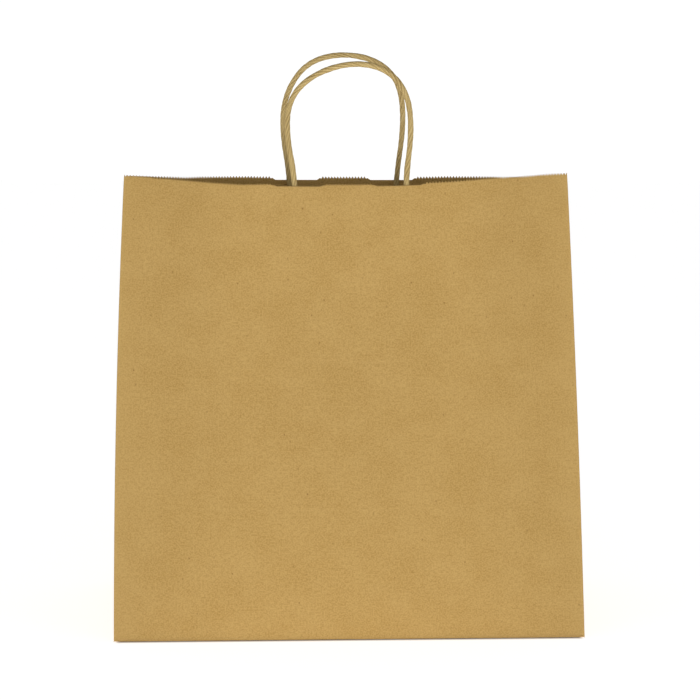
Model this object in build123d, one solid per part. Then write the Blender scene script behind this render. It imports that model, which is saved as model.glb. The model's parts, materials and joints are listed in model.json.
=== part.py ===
from build123d import *
import os
from math import hypot, pi, radians, sin, sqrt, tan

# A paper carrier bag that stands open, folded from one sheet of kraft paper, with two handles of
# twisted paper cord. Millimetres. The origin is the middle of the base on the floor, +Z is up and
# the front faces -Y. Every crease of the sheet is a hinge, so each panel between creases is a node.

# The sheet
bag_width = 330.0
bag_depth = 178.0
panel_height = 330.0
paper = 0.2

# How the mouth rests: its corners drawn together, the middle of each long side bowed outwards
corner_from_middle = 9.3
mouth_bow = 30.4
bow_flat_half_width = 66.0
corner_pull_in = 5.8
edge_dip = 4.5
edge_dip_shoulder = 22.0

# The room left at the creases, so that neighbouring panels clear each other as they fold
base_gap = 1.0
crease_gap = 0.6
diagonal_gap = 1.0
middle_crease_gap = 4.0

# The folded base
flap_past_middle = 14.0
tuck_past_flap_corner = 7.0
tuck_taper = 16.0
base_edge_gap = 0.5

# The seam that closes the sheet into a tube
seam_width = 18.0
seam_from_crease = 1.5
seam_film = 0.05

# The handles and the paper patches that hold them
cord_diameter = 4.0
patch_width = 118.0
patch_height = 60.0
patch_below_edge = 4.5
patch_middle = 2.5
cord_room_in_patch = 0.9
notch_outer_half = 53.2
notch_inner_half = 17.1
notch_depth = 2.0
notch_slope = 3.4
hinge_above_edge = 4.0
fold_out_angle = 120.0
hinge_clearance = 0.35
share_of_run = 0.45

# The routes of the cords, across the panel and up from its top edge, along the panel's slope
front_cord_points = [
    (-37.8, -58.0),
    (-38.1, -28.0),
    (-36.8, 0.0),
    (-43.8, 40.0),
    (-40.8, 64.0),
    (-23.5, 80.0),
    (3.0, 86.6),
    (28.5, 82.0),
    (44.2, 65.0),
    (46.6, 38.0),
    (41.8, 1.0),
    (43.0, -28.0),
    (43.2, -58.0),
]
back_cord_points = [
    (-40.4, -58.0),
    (-40.2, -28.0),
    (-39.4, 0.0),
    (-46.0, 42.0),
    (-42.5, 67.0),
    (-27.5, 87.0),
    (-2.0, 93.4),
    (25.0, 88.5),
    (41.4, 72.0),
    (44.6, 42.0),
    (40.0, 0.0),
    (40.3, -28.0),
    (40.6, -58.0),
]

# Worked out from the sheet
half_width = bag_width / 2
half_depth = bag_depth / 2
cord_radius = cord_diameter / 2
corner_x = half_width - corner_pull_in
corner_lean = half_depth - corner_from_middle
corner_z = sqrt(panel_height**2 - corner_lean**2 - corner_pull_in**2)
bow_y = corner_from_middle + mouth_bow
edge_z = corner_z - edge_dip
slope = (half_depth - bow_y) / corner_z
edge_y = half_depth - edge_z * slope
slope_length = hypot(1.0, slope)
base_flat_half_width = half_width * bow_flat_half_width / corner_x
wall_foot_end = half_width - crease_gap
wall_mouth_end = corner_x - crease_gap
cord_depth = paper / 2 + paper + seam_film + cord_radius
hinge_room = cord_radius / tan(radians((180.0 - fold_out_angle) / 2)) + hinge_clearance
tuck_length = half_depth + tuck_past_flap_corner


def circles_meet(centre_a, radius_a, centre_b, radius_b):
    """Where two circles in the XZ plane meet, on the side nearer the bag's middle and the floor."""
    across = centre_b[0] - centre_a[0]
    up = centre_b[1] - centre_a[1]
    distance = hypot(across, up)
    along = (distance**2 + radius_a**2 - radius_b**2) / (2 * distance)
    aside = sqrt(radius_a**2 - along**2)
    x = centre_a[0] + (along * across + aside * up) / distance
    z = centre_a[1] + (along * up - aside * across) / distance
    return x, z


def gusset_points(side, face):
    """Corners of the creases of one quarter gusset: foot, apex, middle of the mouth, top corner.

    side is -1 on the left and +1 on the right, face is -1 at the front and +1 at the back. The
    gusset is worked out on the left and mirrored. Its apex lies half a depth from the foot of the
    side, and its middle crease runs on from there to the mouth, in the plane between both faces.
    """
    reach = hypot(half_depth, panel_height - half_depth)
    to_corner = sqrt(reach**2 - corner_from_middle**2)
    apex = circles_meet((-half_width, 0.0), half_depth, (-corner_x, corner_z), to_corner)
    middle_length = panel_height - half_depth
    edge_length = sqrt(half_depth**2 - corner_from_middle**2)
    mouth = circles_meet(apex, middle_length, (-corner_x, corner_z), edge_length)
    return (
        Vector(side * half_width, face * half_depth, 0),
        Vector(-side * apex[0], 0, apex[1]),
        Vector(-side * mouth[0], 0, mouth[1]),
        Vector(side * corner_x, face * corner_from_middle, corner_z),
    )


def inset(corners, gaps):
    """The corners of a convex polygon with each edge moved inwards, gaps[i] from corner i to i + 1."""
    moved = []
    for i, corner in enumerate(corners):
        to_last = (corners[i - 1] - corner).normalized()
        to_next = (corners[(i + 1) % len(corners)] - corner).normalized()
        spread = sin(radians(to_last.get_angle(to_next)))
        moved.append(corner + (to_last * gaps[i] + to_next * gaps[i - 1]) / spread)
    return moved


def flat_sheet(corners, gaps):
    """A sheet of paper between creases, as thick as the paper, about the middle of its thickness."""
    outline = Wire.make_polygon(inset(corners, gaps))
    return extrude(Face(outline), amount=paper / 2, both=True)


def level_sheet(corners, bottom):
    """A sheet of paper that lies flat, with its underside at a height."""
    outline = Wire.make_polygon([Vector(x, y, bottom) for x, y in corners])
    return extrude(Face(outline), amount=paper, dir=(0, 0, 1))


def wall_strip(foot, mouth, face, outer, inner):
    """A strip of a bowed wall between two depths, from its foot up to the corners of the mouth.

    foot is a list of x along the straight crease at the floor and mouth the matching points (x, y)
    along the mouth, y from the middle plane. outer and inner are measured outwards from the middle
    of the wall's paper. A ruled surface joins foot and mouth.
    """
    foot_y = half_depth - base_gap * slope
    low = [Vector(x, face * (foot_y + outer), base_gap) for x in foot]
    low += [Vector(x, face * (foot_y + inner), base_gap) for x in reversed(foot)]
    high = [Vector(x, face * (y + outer), corner_z) for x, y in mouth]
    high += [Vector(x, face * (y + inner), corner_z) for x, y in reversed(mouth)]
    faces = [Face(Wire.make_polygon(low)), Face(Wire.make_polygon(high))]
    return loft(faces, ruled=True)


def mouth_cut(face):
    """What the mouth's dipped edge and its two handle notches take out of one wall."""
    shoulder = bow_flat_half_width + edge_dip_shoulder
    over = corner_z + edge_dip
    deep = edge_z - notch_depth
    dip_end = corner_x - seam_width
    shoulder_z = edge_z + edge_dip / 4
    cut = [(-dip_end, over), (-dip_end, corner_z), (-shoulder, shoulder_z)]
    cut += [(-bow_flat_half_width, edge_z)]
    for side in (-1, 1):
        ends = sorted((side * notch_outer_half, side * notch_inner_half))
        cut += [(ends[0], edge_z), (ends[0] + notch_slope, deep)]
        cut += [(ends[1] - notch_slope, deep), (ends[1], edge_z)]
    cut += [(bow_flat_half_width, edge_z), (shoulder, shoulder_z)]
    cut += [(dip_end, corner_z), (dip_end, over)]
    outline = Wire.make_polygon([Vector(x, 0, z) for x, z in cut])
    return extrude(Face(outline), amount=bag_depth, dir=(0, face, 0))


def mouth_point(foot_x):
    """The point of the mouth, across and from the middle plane, above a point of the foot's flanks."""
    share = (abs(foot_x) - base_flat_half_width) / (wall_foot_end - base_flat_half_width)
    across = bow_flat_half_width + share * (wall_mouth_end - bow_flat_half_width)
    return across if foot_x > 0 else -across, bow_y - share * mouth_bow


def wall(face):
    """The front or back wall, flat in its middle and slanting to its corners."""
    foot = [-wall_foot_end, -base_flat_half_width, base_flat_half_width, wall_foot_end]
    mouth = [mouth_point(x) for x in foot]
    return wall_strip(foot, mouth, face, paper / 2, -paper / 2) - mouth_cut(face)


def seam_lap(face):
    """The strip along one side crease where the two ends of the sheet are pasted together."""
    foot = [half_width - seam_from_crease - seam_width, half_width - seam_from_crease]
    mouth = [mouth_point(x) for x in foot]
    top = -paper / 2 - seam_film
    return wall_strip(foot, mouth, face, top, top - paper) - mouth_cut(face)


def outward(face):
    """The direction straight out of the flat middle of a wall."""
    return Vector(0, face / slope_length, slope / slope_length)


def up_slope(face):
    """The direction up along the flat middle of a wall."""
    return Vector(0, -face * slope / slope_length, 1 / slope_length)


def on_wall(face, x, rise, depth):
    """A point at x, a rise above the mouth's edge and a depth behind the middle of the wall's paper."""
    edge = Vector(x, face * edge_y, edge_z)
    return edge + up_slope(face) * rise - outward(face) * depth


def across_wall(face, rise):
    """A level plane across a wall at a rise: x across the wall, y along the way in or out."""
    return Plane(origin=on_wall(face, 0, rise, 0), x_dir=(1, 0, 0), z_dir=up_slope(face))


def bend_radii(route):
    """The largest radius that each corner of a route has room for."""
    radii = []
    for before, here, after in zip(route, route[1:], route[2:]):
        turn = (here - before).get_angle(after - here)
        run = min((here - before).length, (after - here).length)
        radii.append(share_of_run * run / tan(radians(turn) / 2))
    return radii


def whole_cord(points, face):
    """The cord of one handle, from one end in the patch round to the other."""
    route = [on_wall(face, x, rise, cord_depth) for x, rise in points]
    radii = bend_radii(route)
    path = FilletPolyline(*route, radius=radii)
    section = Plane(origin=path @ 0, z_dir=path % 0) * Circle(cord_radius)
    solid = sweep(section, path=path)
    share = solid.volume / (path.length * pi * cord_radius**2)
    print("cord", face, "length", round(path.length, 1), "volume over section times length", round(share, 4))
    print("bend radii", [round(radius, 1) for radius in radii])
    return solid


def above(face, rise):
    """All the room above a rise on a wall."""
    align = (Align.CENTER, Align.CENTER, Align.MIN)
    return across_wall(face, rise) * Box(bag_width, bag_depth, panel_height, align=align)


def backing(face):
    """The ply of the patch that is pasted to the wall, under the cord's two legs."""
    bottom = -patch_below_edge - patch_height
    depth = paper + seam_film
    plate = Pos(patch_middle, -face * depth) * Rectangle(patch_width, paper)
    return extrude(across_wall(face, bottom) * plate, amount=patch_height)


def cover(points, face):
    """The ply of the patch over the cord's legs, with a ridge over each leg."""
    bottom = -patch_below_edge - patch_height
    depth = 2 * (paper + seam_film)
    room = cord_radius + cord_room_in_patch
    legs = [sum(x for x, rise in points[:3]) / 3, sum(x for x, rise in points[-3:]) / 3]
    profile = Pos(patch_middle, -face * depth) * Rectangle(patch_width, paper)
    for x in legs:
        profile += Pos(x, -face * cord_depth) * Circle(room + paper)
    for x in legs:
        profile -= Pos(x, -face * cord_depth) * Circle(room)
    under = Pos(patch_middle, -face * (depth - paper / 2 - half_depth)) * Rectangle(bag_width, bag_depth)
    return extrude(across_wall(face, bottom) * (profile - under), amount=patch_height)


def bottom_flap(face, bottom):
    """A flap of the base, with its corners folded at 45 degrees, reaching past the middle."""
    side = half_width - base_edge_gap
    hem = half_depth - base_edge_gap
    reach = hem + flap_past_middle
    corners = [(-side, face * hem), (side, face * hem)]
    corners += [(side - reach, -face * flap_past_middle), (reach - side, -face * flap_past_middle)]
    return level_sheet(corners, bottom)


def bottom_tuck(side, bottom):
    """The tuck at one side of the base, folded in before both flaps."""
    outer = half_width - base_edge_gap
    inner = outer - tuck_length
    hem = half_depth - base_edge_gap
    corners = [(side * outer, -hem), (side * outer, hem)]
    corners += [(side * inner, hem - tuck_taper), (side * inner, tuck_taper - hem)]
    return level_sheet(corners, bottom)


os.makedirs("parts", exist_ok=True)
sides = {"left": -1, "right": 1}
faces = {"front": -1, "back": 1}
routes = {"front": front_cord_points, "back": back_cord_points}
pieces = {}

pieces["bottom_back_flap"] = bottom_flap(1, 0.0)
pieces["bottom_front_flap"] = bottom_flap(-1, paper)
for side_name, side in sides.items():
    pieces[side_name + "_bottom_tuck"] = bottom_tuck(side, 2 * paper)

for face_name, face in faces.items():
    points = routes[face_name]
    pieces[face_name + "_wall"] = wall(face)
    pieces[face_name + "_handle_backing"] = backing(face)
    pieces[face_name + "_handle_cover"] = cover(points, face)
    twisted = whole_cord(points, face)
    pieces[face_name + "_handle_legs"] = twisted - above(face, hinge_above_edge - hinge_room)
    pieces[face_name + "_handle_loop"] = twisted & above(face, hinge_above_edge + hinge_room)

pieces["seam_lap"] = seam_lap(1)

for side_name, side in sides.items():
    front_foot, apex, mouth, front_corner = gusset_points(side, -1)
    back_foot = gusset_points(side, 1)[0]
    triangle_gaps = [base_gap, diagonal_gap, diagonal_gap]
    pieces[side_name + "_gusset_foot"] = flat_sheet([front_foot, back_foot, apex], triangle_gaps)
    for face_name, face in faces.items():
        foot, apex, mouth, corner = gusset_points(side, face)
        wing_gaps = [diagonal_gap, crease_gap, crease_gap]
        fold_gaps = [middle_crease_gap, crease_gap, crease_gap]
        name = side_name + "_" + face_name + "_gusset_"
        pieces[name + "wing"] = flat_sheet([foot, apex, corner], wing_gaps)
        pieces[name + "fold"] = flat_sheet([apex, mouth, corner], fold_gaps)

for name, piece in pieces.items():
    export_step(piece, "parts/" + name + ".step")
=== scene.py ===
import json
import logging
import math
from dataclasses import dataclass, field
from enum import Enum

import bpy
import numpy as np
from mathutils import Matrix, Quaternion, Vector


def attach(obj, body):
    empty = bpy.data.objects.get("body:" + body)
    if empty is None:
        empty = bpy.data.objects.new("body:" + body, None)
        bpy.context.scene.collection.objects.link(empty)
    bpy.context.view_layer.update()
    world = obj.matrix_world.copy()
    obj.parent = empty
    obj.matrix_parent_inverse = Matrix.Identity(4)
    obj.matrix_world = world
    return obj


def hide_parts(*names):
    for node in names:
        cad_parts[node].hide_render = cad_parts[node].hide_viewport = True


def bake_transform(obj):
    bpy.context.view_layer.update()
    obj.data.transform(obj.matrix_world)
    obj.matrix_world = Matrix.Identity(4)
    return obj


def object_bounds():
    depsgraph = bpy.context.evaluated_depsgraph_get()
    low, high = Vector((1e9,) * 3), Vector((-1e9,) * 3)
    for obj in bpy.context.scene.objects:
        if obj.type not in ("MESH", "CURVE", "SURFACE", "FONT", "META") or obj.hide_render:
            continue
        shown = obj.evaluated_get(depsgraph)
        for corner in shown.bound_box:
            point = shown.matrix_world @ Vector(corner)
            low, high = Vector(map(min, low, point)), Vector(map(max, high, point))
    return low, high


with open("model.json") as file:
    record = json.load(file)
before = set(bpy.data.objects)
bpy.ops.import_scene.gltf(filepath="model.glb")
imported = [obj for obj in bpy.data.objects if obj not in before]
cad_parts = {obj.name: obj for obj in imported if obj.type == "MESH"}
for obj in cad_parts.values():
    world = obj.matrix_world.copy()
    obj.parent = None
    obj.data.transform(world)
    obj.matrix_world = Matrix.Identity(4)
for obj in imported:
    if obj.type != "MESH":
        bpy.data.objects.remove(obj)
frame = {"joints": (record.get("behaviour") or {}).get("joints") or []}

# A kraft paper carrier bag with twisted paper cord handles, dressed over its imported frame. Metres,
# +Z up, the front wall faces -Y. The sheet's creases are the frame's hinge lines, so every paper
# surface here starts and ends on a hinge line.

log = logging.getLogger("gift_bag")
Array = np.ndarray
Socket = bpy.types.NodeSocket
CAD_BOX = [list(corner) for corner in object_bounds()]
MM = 0.001
RANGE = ("From Min", "From Max", "To Min", "To Max")


class Side(Enum):
    """The bag's sides, as seen from the front."""

    LEFT = -1
    RIGHT = 1


class Face(Enum):
    """The bag's two walls."""

    FRONT = -1
    BACK = 1


class Slot(Enum):
    """The record's material slots."""

    KRAFT = "kraft_paper"
    PATCH = "patch_paper"
    CORD = "cord_paper"


def label(choice: Enum) -> str:
    """The word that a side or face has in the frame's names."""
    return choice.name.lower()


def smooth(x: Array, low: float, high: float) -> Array:
    """A smooth step of x.

    Args:
        x: the values.
        low: where the step starts, at 0.
        high: where it ends, at 1.

    Returns:
        3 r^2 - 2 r^3, with r the clipped share of the way from low to high.
    """
    r = np.clip((x - low) / (high - low), 0.0, 1.0)
    return r * r * (3.0 - 2.0 * r)


def bell(x: Array, width: float) -> Array:
    """A bell curve of x: exp(-(x / width)^2)."""
    return np.exp(-((x / width) ** 2))


def unit(v: Array) -> Array:
    """The vector at length one."""
    return v / np.linalg.norm(v)


def placed(name: str, data: bpy.types.ID) -> bpy.types.Object:
    """A new object in the scene, at the origin."""
    made = bpy.data.objects.new(name, data)
    bpy.context.scene.collection.objects.link(made)
    return made


def circles_meet(a: Array, ra: float, b: Array, rb: float) -> Array:
    """Where two circles in the XZ plane meet, on the right of the way from a to b.

    Args:
        a: centre (x, z) of the first circle.
        ra: its radius.
        b: centre of the second circle.
        rb: its radius.

    Returns:
        The point a + along * d + aside * n, where d is the direction from a to b, n is d turned
        clockwise, along = (L^2 + ra^2 - rb^2) / 2L and aside = sqrt(ra^2 - along^2).
    """
    d = b - a
    length = np.hypot(*d)
    along = (length**2 + ra**2 - rb**2) / (2.0 * length)
    aside = math.sqrt(ra**2 - along**2)
    d = d / length
    return a + along * d + aside * np.array([d[1], -d[0]])


@dataclass
class Creases:
    """The hinge lines of the sheet, read from the frame's joints.

    The points are those of the left front quarter: foot is the base's corner, corner the mouth's,
    apex the top of the gusset's foot triangle and middle the mouth's end of the middle crease.
    """

    cord_depth: float = 2.35 * MM
    hinge_rise: float = 4.0 * MM
    left_bow: float = 1.9 * MM
    right_bow: float = 0.9 * MM
    half_width: float = field(init=False)
    half_depth: float = field(init=False)
    foot: Array = field(init=False)
    corner: Array = field(init=False)
    apex: Array = field(init=False)
    middle: Array = field(init=False)
    height: float = field(init=False)
    edge_y: float = field(init=False)
    edge_z: float = field(init=False)
    lean: float = field(init=False)

    def __post_init__(self) -> None:
        """Reads the joints and works out the points that they imply."""
        joints = {joint["name"]: joint for joint in frame["joints"]}
        wing = joints["left_front_gusset_wing_turn"]
        fold = joints["left_front_gusset_fold_turn"]
        self.foot = np.array(wing["pos_m"])
        self.apex = np.array(fold["pos_m"])
        self.half_width, self.half_depth = abs(self.foot[0]), abs(self.foot[1])
        ways = np.column_stack([wing["axis"], -np.array(fold["axis"])])
        along = np.linalg.lstsq(ways, self.apex - self.foot, rcond=None)[0][0]
        self.corner = self.foot + along * np.array(wing["axis"])
        self.height = float(along)
        reach = math.sqrt(self.half_depth**2 - self.corner[1] ** 2)
        rest = self.height - self.half_depth
        flat = circles_meet(self.apex[[0, 2]], rest, self.corner[[0, 2]], reach)
        self.middle = np.array([flat[0], 0.0, flat[1]])
        hinge = np.array(joints["front_handle_fold"]["pos_m"])
        in_from_foot = self.half_depth + hinge[1]
        reach = math.hypot(in_from_foot, hinge[2])
        self.lean = math.atan2(in_from_foot, hinge[2]) - math.asin(self.cord_depth / reach)
        edge = math.sqrt(reach**2 - self.cord_depth**2) - self.hinge_rise
        self.edge_y = self.half_depth - edge * math.sin(self.lean)
        self.edge_z = edge * math.cos(self.lean)

    def bow(self, side: Array) -> Array:
        """How far the side creases bow outwards half way up: one on the left, one on the right."""
        return np.where(side < 0.0, self.left_bow, self.right_bow)

    def mirrored(self, point: Array, side: Side, face: Face) -> Array:
        """The points of another quarter that match those of the left front quarter."""
        return point * np.array([-side.value, -face.value, 1.0])

    def bend_frame(self) -> tuple:
        """The ways along the gusset's bend, and in its wing and its fold square to the bend."""
        along = unit(self.corner - self.apex)
        wing, fold = self.foot - self.apex, self.middle - self.apex
        return along, unit(wing - (wing @ along) * along), unit(fold - (fold @ along) * along)

    def on_wall(self, face: Face, x: Array, rise: Array, depth: Array) -> Array:
        """Points across a wall's flat middle, up its slope from the mouth and behind its paper.

        Args:
            face: the wall.
            x: across the bag.
            rise: up the slope from the mouth's edge.
            depth: behind the middle of the wall's paper.

        Returns:
            The mouth's edge plus rise along the slope and depth square to it, inwards.
        """
        s, c = math.sin(self.lean), math.cos(self.lean)
        y = self.edge_y - rise * s - depth * c
        return np.stack([x, face.value * y, self.edge_z + rise * c - depth * s], -1)


class Shader:
    """A node tree under construction, with short calls for the nodes that the finishes use."""

    def __init__(self, name: str, roughness: float, specular: float) -> None:
        """Starts a material with one Principled shader.

        Args:
            name: the material's name.
            roughness: the shader's own roughness.
            specular: its specular level.
        """
        self.material = bpy.data.materials.new(name)
        self.material.use_nodes = True
        self.tree = self.material.node_tree
        self.shader = self.tree.nodes["Principled BSDF"]
        self.shader.inputs["Roughness"].default_value = roughness
        self.shader.inputs["Specular IOR Level"].default_value = specular

    def node(self, kind: str, **settings: object) -> bpy.types.Node:
        """A new node with its properties set."""
        made = self.tree.nodes.new(kind)
        for key, value in settings.items():
            setattr(made, key, value)
        return made

    def link(self, source: Socket, target: Socket) -> None:
        """Joins two sockets."""
        self.tree.links.new(source, target)

    def mapped(self, source: Socket, scale: tuple, turn: float = 0.0) -> Socket:
        """The coordinates, turned about Z and then scaled."""
        mapping = self.node("ShaderNodeMapping")
        mapping.inputs["Scale"].default_value = scale
        mapping.inputs["Rotation"].default_value = (0.0, 0.0, turn)
        self.link(source, mapping.inputs["Vector"])
        return mapping.outputs["Vector"]

    def noise(self, source: Socket, scale: float, detail: float, rough: float) -> Socket:
        """Fractal noise from 0 to 1 about 0.5."""
        made = self.node("ShaderNodeTexNoise", noise_dimensions="3D")
        made.inputs["Scale"].default_value = scale
        made.inputs["Detail"].default_value = detail
        made.inputs["Roughness"].default_value = rough
        self.link(source, made.inputs["Vector"])
        return made.outputs["Fac"]

    def spread(self, value: Socket, span: tuple, to: tuple) -> Socket:
        """The value carried from one span to another, smoothly and clamped."""
        made = self.node("ShaderNodeMapRange", interpolation_type="SMOOTHSTEP")
        for socket, number in zip(RANGE, span + to):
            made.inputs[socket].default_value = number
        self.link(value, made.inputs["Value"])
        return made.outputs["Result"]

    def maths(self, how: str, a: Socket, b: object) -> Socket:
        """One sum on a value and a value or number."""
        made = self.node("ShaderNodeMath", operation=how)
        self.link(a, made.inputs[0])
        if isinstance(b, float):
            made.inputs[1].default_value = b
        else:
            self.link(b, made.inputs[1])
        return made.outputs[0]

    def times(self, a: Socket, b: object) -> Socket:
        """A value times a value or number."""
        return self.maths("MULTIPLY", a, b)

    def mixed(self, share: Socket, a: object, b: tuple) -> Socket:
        """A colour on the way from a to b by a share."""
        made = self.node("ShaderNodeMix", data_type="RGBA")
        self.link(share, made.inputs["Factor"])
        if isinstance(a, tuple):
            made.inputs["A"].default_value = (*a, 1.0)
        else:
            self.link(a, made.inputs["A"])
        made.inputs["B"].default_value = (*b, 1.0)
        return made.outputs["Result"]

    def attribute(self, name: str) -> Socket:
        """A vertex attribute as a value."""
        return self.node("ShaderNodeAttribute", attribute_name=name).outputs["Fac"]

    def bumped(self, height: Socket, strength: float, distance: float) -> None:
        """Lifts the shading by a height."""
        bump = self.node("ShaderNodeBump")
        bump.inputs["Strength"].default_value = strength
        bump.inputs["Distance"].default_value = distance
        self.link(height, bump.inputs["Height"])
        self.link(bump.outputs["Normal"], self.shader.inputs["Normal"])


@dataclass(frozen=True)
class PaperFinish:
    """Unbleached paper: clouds, mottling, fibres along the sheet, dark flecks, paler worn folds and
    a painted highlight.
    """

    name: str
    colour: tuple = (0.455, 0.274, 0.074)
    dark: tuple = (0.35, 0.20, 0.046)
    pale: tuple = (0.60, 0.392, 0.138)
    fleck: tuple = (0.20, 0.088, 0.018)
    cloud: float = 0.60
    mottle: float = 0.64
    speckle: float = 0.62
    grain: float = 0.30
    # How far the fold attribute pales the sheet: worn creases and edges, and painted highlight.
    wear_and_highlight: float = 0.5
    fleck_share: float = 0.30
    fleck_cells: float = 190.0
    fleck_strength: float = 0.7
    roughness: float = 0.82
    specular: float = 0.22
    bump: float = 0.35
    bump_depth: float = 0.12 * MM

    def build(self) -> bpy.types.Material:
        """Makes the material. Its patterns read the sheet's own UV map, which is in metres."""
        s = Shader(self.name, self.roughness, self.specular)
        sheet = s.node("ShaderNodeTexCoord").outputs["UV"]
        clouds = s.spread(s.noise(sheet, 30.0, 5.0, 0.74), (0.35, 0.65), (0.0, 1.0))
        blotches = s.spread(s.noise(sheet, 430.0, 3.0, 0.75), (0.3, 0.7), (0.0, 1.0))
        fibres = s.noise(s.mapped(sheet, (1.0, 0.22, 1.0), 0.05), 1500.0, 4.0, 0.7)
        grain = s.spread(fibres, (0.28, 0.72), (0.0, 1.0))
        speckle = s.spread(s.noise(sheet, 900.0, 1.0, 0.5), (0.34, 0.66), (0.0, 1.0))
        colour = s.mixed(s.times(clouds, self.cloud), self.colour, self.pale)
        colour = s.mixed(s.times(blotches, self.mottle), colour, self.dark)
        colour = s.mixed(s.times(speckle, self.speckle), colour, self.pale)
        colour = s.mixed(s.times(grain, self.grain), colour, self.pale)
        colour = s.mixed(self.flecks(s, sheet), colour, self.fleck)
        # The fold attribute pales the sheet for worn creases, worn cut edges and the patch cover's
        # ridges, and as painted highlight along the side creases and the handle legs' ridges.
        colour = s.mixed(s.times(s.attribute("fold"), self.wear_and_highlight), colour, self.pale)
        s.link(colour, s.shader.inputs["Base Color"])
        s.link(s.spread(fibres, (0.2, 0.8), (0.70, 0.92)), s.shader.inputs["Roughness"])
        height = s.maths("ADD", s.times(fibres, 0.6), s.times(blotches, 0.4))
        s.bumped(height, self.bump, self.bump_depth)
        return s.material

    def flecks(self, s: Shader, sheet: Socket) -> Socket:
        """Bark flecks: a small dot near the point of some of the cells of a Voronoi pattern.

        Args:
            s: the shader under construction.
            sheet: the sheet's coordinates.

        Returns:
            The share of fleck colour.
        """
        cells = s.node("ShaderNodeTexVoronoi", feature="F1")
        cells.inputs["Scale"].default_value = self.fleck_cells
        s.link(s.mapped(sheet, (1.0, 0.7, 1.0), 0.4), cells.inputs["Vector"])
        channels = s.node("ShaderNodeSeparateColor")
        s.link(cells.outputs["Color"], channels.inputs["Color"])
        dot = s.spread(cells.outputs["Distance"], (0.04, 0.15), (1.0, 0.0))
        chosen = s.maths("LESS_THAN", channels.outputs["Red"], self.fleck_share)
        weight = s.times(chosen, channels.outputs["Green"])
        return s.times(s.times(dot, weight), self.fleck_strength)


@dataclass(frozen=True)
class CordFinish:
    """Paper yarn: pale kraft wound into a cord, creased along its twist, with painted highlight on
    its crests and painted shade in its hollows and grooves.
    """

    name: str = "twisted_paper_cord"
    colour: tuple = (0.55, 0.40, 0.158)
    dark: tuple = (0.20, 0.115, 0.030)
    pale: tuple = (0.68, 0.52, 0.25)
    # How dark the painted shade in the grooves between the plies is.
    groove: float = 0.95
    roughness: float = 0.72
    specular: float = 0.28
    bump: float = 0.5
    bump_depth: float = 0.25 * MM

    def build(self) -> bpy.types.Material:
        """Makes the material. The UV map runs along the cord in metres, and round it by turns."""
        s = Shader(self.name, self.roughness, self.specular)
        along = s.node("ShaderNodeTexCoord").outputs["UV"]
        creases = s.noise(s.mapped(along, (9.0, 2.6, 1.0)), 6.0, 4.0, 0.65)
        lengths = s.noise(s.mapped(along, (1.0, 0.002, 1.0)), 60.0, 3.0, 0.6)
        # Painted highlight where the creases' bump stands high, and painted shade where it lies low.
        colour = s.mixed(s.spread(creases, (0.45, 0.7), (0.0, 0.7)), self.colour, self.pale)
        colour = s.mixed(s.spread(creases, (0.30, 0.46), (0.55, 0.0)), colour, self.dark)
        colour = s.mixed(s.spread(lengths, (0.45, 0.75), (0.0, 0.3)), colour, self.dark)
        # Painted shade in the grooves between the plies.
        colour = s.mixed(s.times(s.attribute("groove"), self.groove), colour, self.dark)
        s.link(colour, s.shader.inputs["Base Color"])
        s.bumped(creases, self.bump, self.bump_depth)
        return s.material


class Maker:
    """Turns grids of points into pieces."""

    def __init__(self) -> None:
        """Builds one material for each slot."""
        strip = PaperFinish("patch_strip", colour=(0.53, 0.345, 0.125), fleck_share=0.2)
        self.finish = {
            Slot.KRAFT: PaperFinish("kraft_sheet").build(),
            Slot.PATCH: strip.build(),
            Slot.CORD: CordFinish().build(),
        }
        self.made: list = []

    def grid(
        self, name: str, points: Array, flat: Array, values: dict, slot: Slot,
        closed: bool, turned: bool,
    ) -> bpy.types.Object:
        """A mesh of quads over a grid of points: the first index climbs it, the second crosses it.

        Args:
            name: the piece's name.
            points: the points, shaped (rows, columns, 3).
            flat: the UV map, shaped (rows, columns, 2), or with one more column when closed.
            values: named vertex attributes, each shaped (rows, columns).
            slot: the finish.
            closed: whether the last column joins the first.
            turned: whether the faces look the other way.

        Returns:
            The object, at the origin.
        """
        rows, columns = points.shape[:2]
        last = columns if closed else columns - 1
        r, c = np.meshgrid(np.arange(rows - 1), np.arange(last), indexing="ij")
        right = (c + 1) % columns
        low, high = r * columns, (r + 1) * columns
        corners = np.stack([low + c, low + right, high + right, high + c], -1)
        places = np.stack([flat[r, c], flat[r, c + 1], flat[r + 1, c + 1], flat[r + 1, c]], -2)
        if turned:
            corners, places = corners[..., ::-1], places[..., ::-1, :]
        mesh = bpy.data.meshes.new(name)
        mesh.from_pydata(points.reshape(-1, 3).tolist(), [], corners.reshape(-1, 4).tolist())
        mesh.uv_layers.new(name="sheet").data.foreach_set("uv", places.astype(np.float32).ravel())
        for key, value in values.items():
            made = mesh.attributes.new(key, "FLOAT", "POINT")
            made.data.foreach_set("value", value.astype(np.float32).ravel())
        mesh.polygons.foreach_set("use_smooth", np.ones(len(mesh.polygons), bool))
        mesh.materials.append(self.finish[slot])
        mesh.validate()
        piece = placed(name, mesh)
        self.made.append(piece)
        return piece

    def paper(
        self, name: str, points: Array, flat: Array, wear_and_highlight: Array, turned: bool,
        thickness: float, slot: Slot = Slot.KRAFT,
    ) -> bpy.types.Object:
        """A sheet of paper over a grid of points, with its thickness and closed rims.

        Args:
            name, points, flat, turned, slot: as for grid.
            wear_and_highlight: how pale the sheet is drawn, from worn creases and edges and from
                painted highlight, shaped (rows, columns).
            thickness: half of it goes to each side.

        Returns:
            The object.
        """
        # The fold attribute carries the paling: worn creases and edges, and painted highlight.
        piece = self.grid(name, points, flat, {"fold": wear_and_highlight}, slot, False, turned)
        solid = piece.modifiers.new("thickness", "SOLIDIFY")
        solid.thickness = thickness
        solid.offset = 0.0
        return piece


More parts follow.
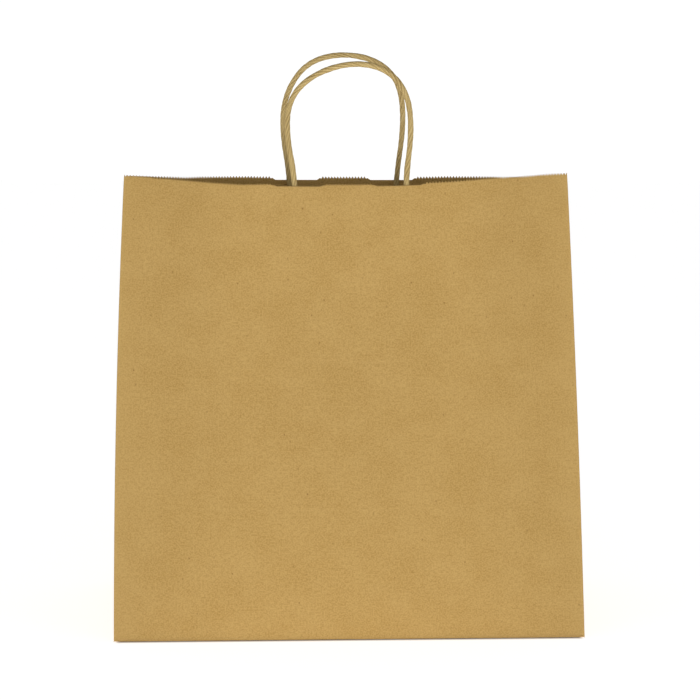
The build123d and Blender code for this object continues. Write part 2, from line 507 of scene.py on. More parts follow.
@dataclass
class Pinking:
    """The zigzag that the bag's mouth is cut with."""

    pitch: float = 2.2 * MM
    depth: float = 1.8 * MM

    def columns(self, length: float) -> int:
        """How many grid columns cross a length, two to a tooth."""
        return 2 * round(length / self.pitch) + 1

    def bite(self, count: int) -> Array:
        """How far each column is cut back from the cut's middle: tips stand half a depth proud."""
        return self.depth * (np.arange(count) % 2 - 0.5)


@dataclass
class Wall:
    """The front or back wall: straight at its foot, bowed and pinked at its mouth.

    A point of the sheet is u across, from -1 to 1, and t up, from 0 at the foot to 1 at the mouth.
    """

    creases: Creases
    face: Face
    thickness: float = 0.22 * MM
    flat_half_width: float = 66.0 * MM
    belly: float = 6.0 * MM
    belly_top: float = 0.80
    notch_outer: float = 53.2 * MM
    notch_inner: float = 17.1 * MM
    notch_depth: float = 1.9 * MM
    notch_slope: float = 2.6 * MM
    foot_gap: float = 1.1 * MM
    edge_band: float = 0.03
    fold_heights: tuple = (94.9 * MM, 201.3 * MM)
    fold_spans: tuple = ((-134.0 * MM, 48.0 * MM), (-49.0 * MM, 60.0 * MM))
    fold_fade: float = 9.0 * MM
    fold_rub: float = 0.30
    fold_depth: float = 0.07 * MM
    fold_width: float = 0.8 * MM
    # Painted highlight: a broad pale band along each side crease, its strength and its width.
    side_painted_highlight: float = 0.45
    side_painted_highlight_width: float = 15.0 * MM
    leg_ridge: float = 0.30 * MM
    # Painted highlight along the crest of each handle leg's ridge.
    leg_painted_highlight: float = 0.34
    leg_ridge_width: float = 1.9 * MM
    leg_length: float = 58.0 * MM
    patch_middle: float = 2.5 * MM
    patch_half: float = 58.8 * MM
    patch_foot: float = 64.6 * MM
    patch_imprint: float = 0.10 * MM
    wave: float = 0.35 * MM
    rim_rub: float = 0.9
    rim_from: float = 0.9995
    legs: tuple = (-38.0 * MM, 42.7 * MM)
    trim: tuple = ()
    pinking: Pinking = field(default_factory=Pinking)

    def mouth(self, u: Array) -> Array:
        """The mouth's edge: flat in its middle, then half a cosine wave in to the corner.

        Args:
            u: across the sheet, from -1 to 1.

        Returns:
            Points whose depth is corner + bow * g, with g = (1 + cos(pi r)) / 2 and r the share of
            the way from the flat to the corner, measured along the paper. x is the running sum of
            sqrt(1 - slope^2) along the paper, brought to end at the corner.
        """
        c = self.creases
        ramp = c.half_width - self.flat_half_width
        bow = c.edge_y + c.corner[1]
        run = np.linspace(0.0, c.half_width, 400)
        r = np.clip((run - self.flat_half_width) / ramp, 0.0, 1.0)
        steep = bow * math.pi / (2.0 * ramp) * np.sin(math.pi * r)
        level = np.sqrt(1.0 - steep**2)
        x = np.concatenate([[0.0], np.cumsum((level[1:] + level[:-1]) / 2.0 * np.diff(run))])
        x *= -c.corner[0] / x[-1]
        s = np.abs(u) * c.half_width
        g = 0.5 + 0.5 * np.cos(math.pi * np.clip((s - self.flat_half_width) / ramp, 0.0, 1.0))
        y = -c.corner[1] + bow * g
        z = c.corner[2] + (c.edge_z - c.corner[2]) * g
        return np.stack([np.sign(u) * np.interp(s, run, x), self.face.value * y, z], -1)

    def points(self, u: Array, t: Array) -> Array:
        """The wall's surface.

        Args:
            u: across the sheet, from -1 to 1.
            t: up the sheet, from 0 to 1.

        Returns:
            The ruled surface from foot to mouth, plus a belly of 6.75 r (1 - r)^2 with r = t over
            the belly's top, plus a bow of the side creases of 4 t (1 - t), plus three slow waves
            that fade out at the edges.
        """
        c = self.creases
        depth = np.full_like(u, self.face.value * c.half_depth)
        foot = np.stack([u * c.half_width, depth, np.zeros_like(u)], -1)
        place = foot + t[..., None] * (self.mouth(u) - foot)
        r = np.clip(t / self.belly_top, 0.0, 1.0)
        out = self.belly * 6.75 * r * (1.0 - r) ** 2 * (1.0 - u**2)
        quiet = (1.0 - u**2) * np.sin(math.pi * np.clip(t * 1.02, 0.0, 1.0))
        waves = np.sin(7.1 * u + 2.3 * t + 1.0) + np.sin(3.7 * u - 9.0 * t + self.face.value)
        waves += 0.6 * np.sin(13.0 * u + 6.0 * t)
        out = out + self.wave * quiet * waves / 1.6
        place[..., 1] += self.face.value * out
        place[..., 0] += c.bow(u) * 4.0 * t * (1.0 - t) * u**3
        return place

    def over_legs(self, x: Array, down: Array, narrow: float) -> Array:
        """Where the handle's legs press: a bell curve across each leg, down to its end.

        Args:
            x: across the sheet.
            down: down the sheet from the mouth.
            narrow: the bell's width as a share of the ridge's width.

        Returns:
            The press, from 0 to 1.
        """
        ends = smooth(down, 5.0 * MM, 9.0 * MM)
        ends *= 1.0 - smooth(down, self.leg_length - 6.0 * MM, self.leg_length)
        width = narrow * self.leg_ridge_width
        return ends * sum(bell(x - leg, width) for leg in self.legs)

    def folds(self, x: Array, rise: Array) -> Array:
        """The faint lines left by the bag's flat fold, each over its own span.

        Args:
            x: across the sheet.
            rise: up the sheet from the foot.

        Returns:
            The sum of a bell curve across each line, faded out at both ends of its span.
        """
        total = np.zeros_like(x)
        fade = self.fold_fade
        for height, (start, end) in zip(self.fold_heights, self.fold_spans):
            span = smooth(x, start - fade, start + fade)
            span *= 1.0 - smooth(x, end - fade, end + fade)
            total += span * bell(rise - height, self.fold_width)
        return total

    def relief(self, u: Array, t: Array) -> Array:
        """What stands out of the wall: the legs, the patch's rim, and the dents of the flat fold.

        Args:
            u: across the sheet.
            t: up the sheet.

        Returns:
            Heights outwards: a bell curve across each leg, a soft step at the patch's rim, and a
            bell curve sunk into each fold line.
        """
        c = self.creases
        x = u * c.half_width
        down = (1.0 - t) * c.height
        out = self.leg_ridge * self.over_legs(x, down, 1.0)
        soft = 0.6 * MM
        half, foot = self.patch_half, self.patch_foot
        across = 1.0 - smooth(np.abs(x - self.patch_middle), half - soft, half + soft)
        out += self.patch_imprint * across * (1.0 - smooth(down, foot - soft, foot + soft))
        return out - self.fold_depth * self.folds(x, t * c.height)

    def levels(self) -> Array:
        """The grid's rows: even, and close together at the foot, the folds and the mouth."""
        c = self.creases
        rows = [np.linspace(0.012, 1.0 - self.edge_band, 52)]
        rows += [self.foot_gap / c.height + np.array([0.0, 0.4, 0.9, 1.6, 2.6]) * MM / c.height]
        for height in self.fold_heights:
            rows += [(height + np.linspace(-2.4, 2.4, 9) * MM) / c.height]
        rows += [1.0 - self.edge_band * np.linspace(0.0, 1.0, 6)[:-1] ** 1.5]
        level = np.unique(np.concatenate(rows).round(6))
        return level[np.concatenate([[True], np.diff(level) > 0.0006])]

    def cut(self, x: Array, teeth: Array) -> Array:
        """How far the mouth is cut back at each column.

        Args:
            x: across the sheet.
            teeth: the teeth's share of the cut.

        Returns:
            The trim at x, with the teeth or, between its straight slopes, with the notch.
        """
        at = np.abs(x)
        rise = np.clip((at - self.notch_inner) / self.notch_slope, 0.0, 1.0)
        fall = np.clip((self.notch_outer - at) / self.notch_slope, 0.0, 1.0)
        notch = np.minimum(rise, fall)
        places, trims = np.array(self.trim).T * MM
        return np.interp(x, places, trims) + notch * self.notch_depth + teeth * (notch < 0.02)

    def build(self, maker: Maker) -> None:
        """Makes the wall's paper and sets it in the frame."""
        c = self.creases
        count = self.pinking.columns(2.0 * c.half_width)
        across = np.linspace(-1.0, 1.0, count)
        level = self.levels()
        u, tau = np.meshgrid(across, level)
        cut = self.cut(across * c.half_width, self.pinking.bite(count)) / c.height
        near = np.clip((tau - 1.0 + self.edge_band) / self.edge_band, 0.0, 1.0)
        t = tau - near * cut
        place = self.points(u, t)
        place[..., 1] += self.face.value * self.relief(u, t)
        x, rise = u * c.half_width, t * c.height
        sheet = np.stack([x + 0.7 * (1 + self.face.value), rise], -1)
        to_side = (1.0 - np.abs(u)) * c.half_width
        rim = bell(to_side, 1.0 * MM) + bell(rise, 1.5 * MM)
        # Painted highlight: a broad pale band along each side crease.
        rim += self.side_painted_highlight * bell(to_side, self.side_painted_highlight_width)
        rim += self.fold_rub * self.folds(x, rise)
        rim += self.rim_rub * (tau > self.rim_from)
        # Painted highlight along the crest of each handle leg's ridge.
        rim += self.leg_painted_highlight * self.over_legs(x, (1.0 - t) * c.height, 0.5)
        name = label(self.face) + "_wall"
        turned = self.face is Face.BACK
        piece = maker.paper(name + "_paper", place, sheet, rim, turned, self.thickness)
        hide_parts(name)
        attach(piece, name)


@dataclass
class Gusset:
    """One half of a side gusset above its foot triangle, from a wall's side crease to the middle.

    Flat, the half is a strip half a depth wide, and its foot is cut at 45 degrees. p runs across
    it from the side crease and q up it. A soft bend runs from the apex to the mouth's corner.
    """

    creases: Creases
    side: Side
    face: Face
    thickness: float = 0.22 * MM
    bend: float = 16.0 * MM
    least_bend: float = 0.02 * MM
    swell: float = 2.2 * MM
    blend_reach: float = 9.0 * MM
    trim: float = 0.0
    pinking: Pinking = field(default_factory=Pinking)

    def points(self, p: Array, q: Array) -> Array:
        """The bent strip in the left front quarter.

        Args:
            p: across the strip from the side crease.
            q: up the strip.

        Returns:
            Wing and fold are flat triangles on both sides of the bend. A point a along the bend
            and d across it goes to apex + a e + W w + F f, where e runs along the bend, w and f
            lie in wing and fold square to it, and W and F are the ramps of -d and of d, rounded to
            (d -+ r)^2 / 4r within r of the bend. r fades out at both ends of the bend.
        """
        c = self.creases
        deep, high = c.half_depth, c.height
        start, end = np.array([deep, deep]), np.array([0.0, high])
        length = float(np.hypot(*(end - start)))
        way = (end - start) / length
        square = np.array([way[1], -way[0]])
        dp, dq = p - start[0], q - start[1]
        a = dp * way[0] + dq * way[1]
        d = dp * square[0] + dq * square[1]
        e, w, f = c.bend_frame()
        fade = np.sin(math.pi * np.clip(a / length, 0.0, 1.0)) ** 0.8
        r = np.maximum(self.bend * fade, self.least_bend)
        ramp_f = np.where(np.abs(d) < r, (d + r) ** 2 / (4.0 * r), np.maximum(d, 0.0))
        ramp_w = np.where(np.abs(d) < r, (r - d) ** 2 / (4.0 * r), np.maximum(-d, 0.0))
        place = c.apex + a[..., None] * e + ramp_w[..., None] * w + ramp_f[..., None] * f
        out = unit(np.cross(w, e))
        share = np.clip(p / deep, 0.0, 1.0)
        climb = np.clip((q - p) / (high - p), 0.0, 1.0)
        place += (self.swell * np.sin(math.pi * share) * np.sin(math.pi * climb))[..., None] * out
        bow = 4.0 * (q / high) * (1.0 - q / high) * (1.0 - smooth(share, 0.0, 0.5))
        place[..., 0] -= c.bow(np.float64(self.side.value)) * bow
        return place

    def build(self, maker: Maker) -> None:
        """Makes the half gusset's paper."""
        c = self.creases
        count = self.pinking.columns(c.half_depth)
        across = np.linspace(0.0, 1.0, count)
        level = np.concatenate([np.linspace(0.0, 0.975, 64), [0.985, 0.992, 1.0]])
        s, tau = np.meshgrid(across, level)
        p = s * c.half_depth
        cut = self.pinking.bite(count) + self.trim * (1.0 - across)
        q = p + tau * (c.height - p) - cut * smooth(tau, 0.975, 1.0)
        place = c.mirrored(self.points(p, q), self.side, self.face)
        sheet = np.stack([p + 0.35 * (2 + self.side.value), q + 0.5 * self.face.value], -1)
        rim = bell(p, 1.0 * MM) + bell(c.half_depth - p, 1.2 * MM) + bell(q - p, 1.2 * MM)
        name = f"{label(self.side)}_{label(self.face)}_gusset"
        turned = self.side.value != self.face.value
        piece = maker.paper(name + "_paper", place, sheet, rim, turned, self.thickness)
        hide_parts(name + "_wing", name + "_fold")
        _, w, f = c.bend_frame()
        way = self.blend_reach * c.mirrored(unit(f - w), self.side, self.face)
        centre = c.mirrored((c.apex + c.corner) / 2.0, self.side, self.face)
        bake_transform(piece)


@dataclass
class GussetFoot:
    """The triangle at the foot of a side, from the base's crease to the apex."""

    creases: Creases
    side: Side
    thickness: float = 0.22 * MM
    swell: float = 1.4 * MM
    foot_gap: float = 1.1 * MM

    def build(self, maker: Maker) -> None:
        """Makes the triangle: rows climb from the crease to the apex and narrow to a point.

        A point is b along the crease from -1 to 1, times the row's half width, and r up the slope.
        It swells outwards by b' (1 - b'^2), with b' its least share of the way to an edge.
        """
        c = self.creases
        level = np.concatenate([[0.0, 0.01, 0.025], np.linspace(0.05, 1.0, 36)])
        r, b = np.meshgrid(level, np.linspace(-1.0, 1.0, 61), indexing="ij")
        rise = self.foot_gap + r * (c.half_depth - self.foot_gap)
        y = b * (c.half_depth - rise)
        up = unit(c.apex - np.array([c.foot[0], 0.0, 0.0]))
        out = np.array([-up[2], 0.0, up[0]])
        swell = self.swell * 4.0 * r * (1.0 - r) * (1.0 - b**2)
        place = np.array([c.foot[0], 0.0, 0.0]) + rise[..., None] * up + swell[..., None] * out
        place[..., 1] = y
        place = place * np.array([-self.side.value, 1.0, 1.0])
        sheet = np.stack([y + 0.35 * (4 + self.side.value), rise], -1)
        edge = (c.half_depth - rise) * (1.0 - np.abs(b))
        rim = bell(edge, 1.2 * MM) + bell(rise, 1.5 * MM)
        name = label(self.side) + "_gusset_foot"
        turned = self.side is Side.LEFT
        piece = maker.paper(name + "_paper", place, sheet, rim, turned, self.thickness)
        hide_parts(name)
        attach(piece, name)


@dataclass
class BaseSheet:
    """A flap or tuck of the base: a level sheet with a rounded fold up to the wall that it serves.

    Its rows step from the fold's top over the round and inwards, and its columns run along it.
    """

    node: str
    crease_half: float
    crease_at: float
    outwards: Array
    inward_length: float
    level: float
    turn: float
    trim: float
    radius: float = 0.9 * MM
    thickness: float = 0.2 * MM

    def build(self, maker: Maker) -> None:
        """Makes the sheet from its crease inwards.

        The profile is an arc of the radius through the turn, then a straight run. Each row is as
        wide as the crease, less the trim for each step inwards, which cuts the ends at a slant.
        """
        arc = np.linspace(-self.turn, 0.0, 9)
        steps = np.linspace(0.0, self.radius - self.inward_length, 30)[1:]
        out = self.crease_at - self.radius
        out += np.concatenate([self.radius * np.sin(-arc), steps])
        lift = self.level + self.thickness / 2.0
        lift += np.concatenate([self.radius * (1.0 - np.cos(arc)), 0.0 * steps])
        inwards = self.crease_at - out
        half = self.crease_half - np.maximum(inwards, 0.0) * self.trim
        along = np.linspace(-1.0, 1.0, 60)
        run = half[:, None] * along
        sideways = np.array([-self.outwards[1], self.outwards[0], 0.0])
        place = out[:, None, None] * self.outwards + run[..., None] * sideways
        place[..., 2] += lift[:, None]
        depth = np.broadcast_to(inwards[:, None], run.shape)
        sheet = np.stack([run + 0.9, depth + len(self.node) * 0.1], -1)
        rim = bell(depth, 1.2 * MM)
        piece = maker.paper(self.node + "_paper", place, sheet, rim, False, self.thickness)
        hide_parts(self.node)
        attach(piece, "root")


@dataclass
class SeamLap:
    """The pasted strip along one side crease, on the inside of the back wall."""

    wall: Wall
    width: float = 18.0 * MM
    from_crease: float = 1.5 * MM
    film: float = 0.28 * MM
    thickness: float = 0.2 * MM
    ragged: float = 0.25 * MM
    reach: tuple = (0.006, 0.994)

    def build(self, maker: Maker) -> None:
        """Makes the strip on the wall's own surface, a film behind it, with a rough free edge."""
        c = self.wall.creases
        s, t = np.meshgrid(np.linspace(0.0, 1.0, 12), np.linspace(*self.reach, 90))
        ragged = self.ragged * np.sin(47.0 * t) * (1.0 - s)
        u = 1.0 - (self.from_crease + (1.0 - s) * self.width + ragged) / c.half_width
        place = self.wall.points(u, t)
        place[..., 1] -= self.wall.face.value * self.film
        sheet = np.stack([u * c.half_width + 1.9, t * c.height], -1)
        piece = maker.paper("seam_lap_paper", place, sheet, 0.0 * t, True, self.thickness)
        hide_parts("seam_lap")
        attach(piece, "back_wall")


@dataclass
class Patch:
    """The two paper strips that hold one handle: a backing on the wall, a cover over the legs."""

    wall: Wall
    legs: tuple
    width: float = 118.0 * MM
    height: float = 60.0 * MM
    below_edge: float = 4.5 * MM
    middle: float = 2.5 * MM
    ply: float = 0.2 * MM
    backing_depth: float = 0.30 * MM
    cover_depth: float = 0.53 * MM
    ridge_top: float = 4.6 * MM
    ridge_flat: float = 0.9 * MM
    ridge_foot: float = 4.6 * MM
    leg_end: float = 58.0 * MM
    run_out: float = 4.0 * MM
    wrinkle: float = 0.025 * MM
    # How much paler the cover is drawn on top of each ridge over a leg.
    ridge_paling: float = 0.4

    def build(self, maker: Maker) -> None:
        """Makes both strips. The cover rises over each leg in a bell that is cut square on top.

        The ridge's height is the cord and a ply, times 1 - smooth(|x - leg|), and it runs out
        below the leg's end.
        """
        low, high = self.middle - self.width / 2.0, self.middle + self.width / 2.0
        drop = self.below_edge + np.linspace(1.0, 0.0, 60) * self.height
        x, down = np.meshgrid(np.linspace(low, high, 190), drop)
        sheet = np.stack([x + 2.5 + self.wall.face.value * 0.3, down], -1)
        name = label(self.wall.face)
        turned = self.wall.face is Face.BACK
        depth = self.cover_depth + self.wrinkle * np.sin(x * 900.0 + 3.0 * np.sin(down * 210.0))
        for leg in self.legs:
            ridge = 1.0 - smooth(np.abs(x - leg), self.ridge_flat, self.ridge_foot)
            ridge *= 1.0 - smooth(down, self.leg_end, self.leg_end + self.run_out)
            depth += (self.ridge_top - self.cover_depth) * ridge
        backing = (self.backing_depth + 0.0 * x, 0.0 * x)
        cover = (depth, self.ridge_paling * (depth > 2.0 * MM))
        for kind, (behind, wear_and_highlight) in (("backing", backing), ("cover", cover)):
            node = f"{name}_handle_{kind}"
            place = self.wall.creases.on_wall(self.wall.face, x, -down, behind)
            piece = maker.paper(node + "_paper", place, sheet, wear_and_highlight, turned, self.ply, Slot.PATCH)
            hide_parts(node)
            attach(piece, name + "_wall")


@dataclass
class Handle:
    """One twisted paper cord, from its end in the patch round to the other end.

    Its route's points lie across the wall and up its slope from the mouth.
    """

    creases: Creases
    face: Face
    route: tuple
    length: float
    radius: float = 2.0 * MM
    step: float = 0.5 * MM
    around: int = 40
    plies: int = 5
    pitch: float = 30.0 * MM
    groove: float = 0.34
    beat: float = 9.0 * MM
    wander: float = 0.18
    swell: float = 0.04
    seed: int = 4
    bend_end: float = 15.0 * MM

    def centreline(self) -> Array:
        """Reads evenly spaced points from the route's spline.

        Returns:
            Points along the curve, a step apart.
        """
        curve = bpy.data.curves.new(label(self.face) + "_cord_route", "CURVE")
        curve.dimensions = "3D"
        spline = curve.splines.new("NURBS")
        spline.points.add(len(self.route) - 1)
        for point, (x, rise) in zip(spline.points, self.route):
            place = self.creases.on_wall(self.face, x * MM, rise * MM, self.creases.cord_depth)
            point.co = (*place, 1.0)
        spline.order_u = 3
        spline.use_endpoint_u = True
        spline.resolution_u = 24
        holder = bpy.data.objects.new(curve.name, curve)
        line = bpy.data.meshes.new_from_object(holder)
        points = np.empty(len(line.vertices) * 3)
        line.vertices.foreach_get("co", points)
        points = points.reshape(-1, 3)
        bpy.data.objects.remove(holder)
        bpy.data.curves.remove(curve)
        bpy.data.meshes.remove(line)
        gone = np.concatenate([[0.0], np.cumsum(np.linalg.norm(np.diff(points, axis=0), axis=1))])
        at = np.linspace(0.0, gone[-1], int(gone[-1] / self.step))
        return np.stack([np.interp(at, gone, points[:, k]) for k in range(3)], -1)

    def build(self, maker: Maker) -> None:
        """Winds the cord along its line.

        Round the line the radius is R (1 - g (1 - lobe)^3), where lobe = |sin(n a / 2)| for n
        plies and a is the angle plus the twist 2 pi s / pitch, which wanders a little. Closed
        caps end it.
        """
        line = self.centreline()
        s = np.arange(len(line)) * np.linalg.norm(line[1] - line[0])
        ahead = np.gradient(line, axis=0)
        ahead /= np.linalg.norm(ahead, axis=1)[:, None]
        lean = self.creases.lean
        out = np.array([0.0, self.face.value * math.cos(lean), math.sin(lean)])
        aside = np.cross(ahead, out)
        rng = np.random.default_rng(self.seed)
        beats = np.arange(0.0, s[-1] + 0.02, self.beat)
        wander = np.interp(s, beats, np.cumsum(rng.normal(0.0, self.wander, len(beats))))
        swell = np.interp(s, beats, rng.normal(0.0, self.swell, len(beats)))
        angle = np.linspace(0.0, 2.0 * math.pi, self.around, endpoint=False)
        phase = angle + (2.0 * math.pi * s / self.pitch + wander)[:, None]
        lobe = np.abs(np.sin(self.plies * phase / 2.0))
        uneven = 0.6 + 0.4 * np.sin(phase + 0.7) * np.cos(90.0 * s)[:, None]
        radius = self.radius * (1.0 + swell[:, None])
        radius = radius * (1.0 - self.groove * uneven * (1.0 - lobe) ** 3)
        radius *= 1.0 + 0.012 * np.sin(3.0 * phase + 160.0 * s[:, None])
        place = line[:, None, :] + radius[..., None] * (
            np.cos(angle)[None, :, None] * aside[:, None, :] + np.sin(angle)[None, :, None] * out
        )
        first, last = (np.broadcast_to(line[k], (1, self.around, 3)) for k in (0, -1))
        place = np.concatenate([first, place, last])
        # Painted shade for the grooves between the plies, deepest in each groove; the cord's finish
        # darkens by it.
        dark = (1.0 - lobe) ** 2 * uneven
        dark = np.concatenate([dark[:1], dark, dark[-1:]])
        far = np.concatenate([s[:1], s, s[-1:]])
        twist = np.concatenate([[0.0], s, s[-1:]]) / self.pitch
        turns = np.linspace(0.0, 1.0, self.around + 1) + twist[:, None]
        sheet = np.stack([np.broadcast_to(far[:, None], turns.shape), turns], -1)
        name = label(self.face)
        values = {"groove": dark}
        piece = maker.grid(name + "_handle_cord", place, sheet, values, Slot.CORD, True, True)
        weld = piece.modifiers.new("caps", "WELD")
        weld.merge_threshold = 0.01 * MM
        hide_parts(name + "_handle_legs", name + "_handle_loop")
        c = self.creases
        low = c.on_wall(self.face, 0.0, 0.0, c.cord_depth)
        high = c.on_wall(self.face, 0.0, self.bend_end, c.cord_depth)
        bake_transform(piece)


# The control points of the cords' routes, in millimetres.
FRONT_ROUTE = (
    (-37.8, -58.0), (-38.1, -28.0), (-37.15, 0.0), (-44.3, 40.0), (-40.2, 63.4), (-23.2, 78.9),
    (3.4, 86.8), (27.6, 82.2), (42.1, 65.0), (45.0, 38.0), (39.9, 1.0), (42.6, -28.0),
    (43.1, -58.0),
)
BACK_ROUTE = (
    (-40.8, -58.0), (-40.6, -28.0), (-39.8, 0.0), (-46.5, 42.0), (-41.9, 67.0), (-27.2, 87.1),
    (-2.0, 93.6), (25.0, 88.0), (40.4, 71.8), (44.0, 42.0), (38.6, 0.0), (38.9, -28.0),
    (39.4, -58.0),
)
# How far each wall's mouth is cut below the panel's height, in millimetres, at places across it.
FRONT_TRIM = (
    (-165.0, -0.04), (-140.0, 0.89), (-90.0, -0.02), (-75.0, 0.15), (-60.0, -0.24), (5.0, 0.05),
    (35.0, -0.7), (56.0, -1.4), (70.0, -2.2), (85.0, -2.71), (98.0, -2.77), (110.0, -2.44),
    (125.0, -1.21), (140.0, -1.14), (165.0, -1.74),
)
BACK_TRIM = (
    (-165.0, 1.7), (-120.0, 1.25), (-107.0, 0.16), (-94.0, -0.52), (-82.0, -1.04),
    (-70.0, -1.24), (-58.0, -0.98), (0.0, -0.87), (57.0, -0.9), (75.0, -1.33), (87.0, -1.02),
    (99.0, -0.55), (112.0, 0.14), (118.0, 0.85), (130.0, 1.4), (165.0, 1.2),
)


@dataclass
class GiftBag:
    """The whole bag, built from the base up."""

    creases: Creases = field(default_factory=Creases)
    ply: float = 0.2 * MM
    edge_gap: float = 0.5 * MM
    flap_past: float = 14.0 * MM
    flap_trim: float = 1.0
    tuck_past: float = 7.0 * MM
    tuck_trim: float = 0.17

    def base(self, maker: Maker) -> None:
        """Makes the base's two flaps and two tucks, each with its fold."""
        c = self.creases
        wall_turn = math.pi / 2.0 + c.lean
        foot_turn = math.pi - math.atan2(c.apex[2], c.apex[0] - c.foot[0])
        for face, level in ((Face.BACK, 0.0), (Face.FRONT, self.ply)):
            out = np.array([0.0, float(face.value), 0.0])
            reach = c.half_depth + self.flap_past
            place = (c.half_width - self.edge_gap, c.half_depth, out, reach)
            flap = (level, wall_turn, self.flap_trim)
            BaseSheet(f"bottom_{label(face)}_flap", *place, *flap).build(maker)
        for side in Side:
            out = np.array([float(side.value), 0.0, 0.0])
            reach = c.half_depth + self.tuck_past
            place = (c.half_depth - self.edge_gap, c.half_width, out, reach)
            tuck = (2.0 * self.ply, foot_turn, self.tuck_trim)
            BaseSheet(f"{label(side)}_bottom_tuck", *place, *tuck).build(maker)

    def build(self, maker: Maker) -> None:
        """Makes every piece in order: base, walls, gussets, seam, patches and handles."""
        c = self.creases
        self.base(maker)
        walls = {
            Face.FRONT: Wall(c, Face.FRONT, trim=FRONT_TRIM, notch_depth=1.4 * MM),
            Face.BACK: Wall(c, Face.BACK, trim=BACK_TRIM, legs=(-40.5 * MM, 39.0 * MM)),
        }
        for wall in walls.values():
            wall.build(maker)
        for side in Side:
            GussetFoot(c, side).build(maker)
            for face, wall in walls.items():
                end = wall.trim[0 if side is Side.LEFT else -1]
                Gusset(c, side, face, trim=end[1] * MM).build(maker)
        SeamLap(walls[Face.BACK]).build(maker)
        for face, wall in walls.items():
            Patch(wall, wall.legs).build(maker)
        Handle(c, Face.FRONT, FRONT_ROUTE, 342.6 * MM).build(maker)
        Handle(c, Face.BACK, BACK_ROUTE, 354.6 * MM, seed=9).build(maker)
        for piece in maker.made:
            log.info("%s: %d faces", piece.name, len(piece.data.polygons))


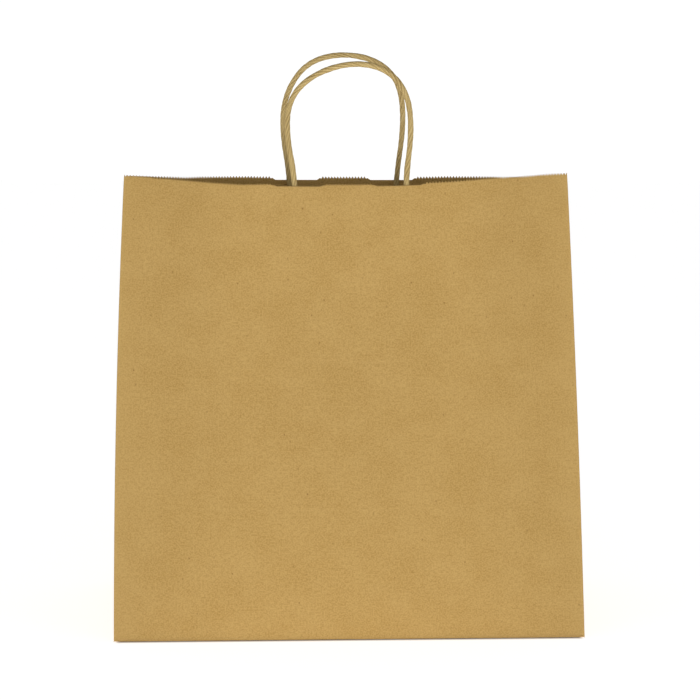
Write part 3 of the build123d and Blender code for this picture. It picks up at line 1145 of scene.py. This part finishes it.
@dataclass
class Studio:
    """A white sweep, soft boxes and the camera."""

    distance: float = 1.5154
    azimuth: float = -2.69
    elevation: float = 7.68
    lens: float = 106.7
    sensor: float = 36.0
    roll: float = 0.0032
    aim_from_middle: tuple = (3.2 * MM, 0.0, -11.354 * MM)
    reach: float = 6.0
    floor_white: tuple = (0.93, 0.93, 0.93)
    floor_glow: float = 0.74
    # How far off the bag's foot the floor's glow fades in; the strip that it leaves unlit is a
    # painted contact shadow.
    painted_contact_shadow_width: float = 4.0 * MM
    sky_low: float = 1.05
    sky_high: float = 0.22
    sky_fade: tuple = (0.06, 0.42)
    lamp_aim: float = 0.17
    boxes: tuple = (
        ("front_box", (-0.1, -2.1, 0.2), 0.8, 4.6),
        ("left_box", (-0.95, -1.1, 0.18), 0.5, 3.0),
        ("right_box", (1.0, -1.1, 0.18), 0.5, 3.3),
    )

    def camera(self) -> None:
        """Places the camera on its bearing from the aim point."""
        data = bpy.data.cameras.new("camera")
        data.lens, data.sensor_width = self.lens, self.sensor
        data.clip_start, data.clip_end = 0.05, 60.0
        camera = placed("camera", data)
        a, e = math.radians(self.azimuth), math.radians(self.elevation)
        back = Vector((math.sin(a) * math.cos(e), -math.cos(a) * math.cos(e), math.sin(e)))
        middle = (Vector(CAD_BOX[0]) + Vector(CAD_BOX[1])) / 2.0
        camera.location = middle + Vector(self.aim_from_middle) + back * self.distance
        camera.rotation_mode = "QUATERNION"
        level = (-back).to_track_quat("-Z", "Y")
        camera.rotation_quaternion = level @ Quaternion((0.0, 0.0, 1.0), self.roll)
        bpy.context.scene.camera = camera

    def floor(self) -> None:
        """Lays a wide pale floor that glows, with a painted contact shadow where its glow stops at
        the bag's foot.
        """
        mesh = bpy.data.meshes.new("floor")
        square = ((-1, -1), (1, -1), (1, 1), (-1, 1))
        corners = [(x * self.reach, y * self.reach, 0.0) for x, y in square]
        mesh.from_pydata(corners, [], [(0, 1, 2, 3)])
        shader = Shader("floor_white", 0.9, 0.1)
        shader.shader.inputs["Base Color"].default_value = (*self.floor_white, 1.0)
        shader.shader.inputs["Emission Color"].default_value = (1.0, 1.0, 1.0, 1.0)
        shader.link(self.glow(shader), shader.shader.inputs["Emission Strength"])
        mesh.materials.append(shader.material)
        placed("floor", mesh)

    def glow(self, shader: Shader) -> Socket:
        """The floor's glow, which lights the bag from below: none under the bag and full a little
        way off its foot, so the unlit strip along the foot is a painted contact shadow.

        Args:
            shader: the floor's shader.

        Returns:
            The glow, which fades in off the front and back of the foot but not off its sides.
        """
        split = shader.node("ShaderNodeSeparateXYZ")
        shader.link(shader.node("ShaderNodeTexCoord").outputs["Object"], split.inputs[0])
        half_width, half_depth = CAD_BOX[1][:2]
        past = []
        for axis, edge in (("X", half_width - self.painted_contact_shadow_width), ("Y", half_depth)):
            far = shader.maths("ABSOLUTE", split.outputs[axis], 0.0)
            past.append(shader.maths("SUBTRACT", far, float(edge)))
        nearest = shader.maths("MAXIMUM", *past)
        return shader.spread(nearest, (0.0, self.painted_contact_shadow_width), (0.0, self.floor_glow))

    def soft_box(self, name: str, place: tuple, size: float, power: float) -> None:
        """Hangs a square area light that faces the bag."""
        data = bpy.data.lights.new(name, "AREA")
        data.shape, data.size, data.energy = "SQUARE", size, power
        lamp = placed(name, data)
        lamp.location = place
        lamp.rotation_mode = "QUATERNION"
        way = Vector((0.0, 0.0, self.lamp_aim)) - Vector(place)
        lamp.rotation_quaternion = way.to_track_quat("-Z", "Y")

    def lights(self) -> None:
        """Lights the bag from a white surround that dims overhead, and from low soft boxes."""
        world = bpy.data.worlds.new("surround")
        world.use_nodes = True
        nodes, links = world.node_tree.nodes, world.node_tree.links
        split = nodes.new("ShaderNodeSeparateXYZ")
        fade = nodes.new("ShaderNodeMapRange")
        fade.interpolation_type = "SMOOTHSTEP"
        for socket, number in zip(RANGE, (*self.sky_fade, self.sky_low, self.sky_high)):
            fade.inputs[socket].default_value = number
        links.new(nodes.new("ShaderNodeTexCoord").outputs["Generated"], split.inputs[0])
        links.new(split.outputs["Z"], fade.inputs["Value"])
        links.new(fade.outputs["Result"], nodes["Background"].inputs["Strength"])
        nodes["Background"].inputs["Color"].default_value = (1.0, 1.0, 1.0, 1.0)
        bpy.context.scene.world = world
        for name, place, size, power in self.boxes:
            self.soft_box(name, place, size, power)
        bpy.context.scene.view_settings.view_transform = "Standard"

    def build(self) -> None:
        """Sets up everything round the bag."""
        self.camera()
        self.floor()
        self.lights()


def main() -> None:
    """Builds the studio and the bag."""
    logging.basicConfig(level=logging.INFO, format="%(message)s")
    Studio().build()
    GiftBag().build(Maker())


if __name__ == "__main__":
    main()
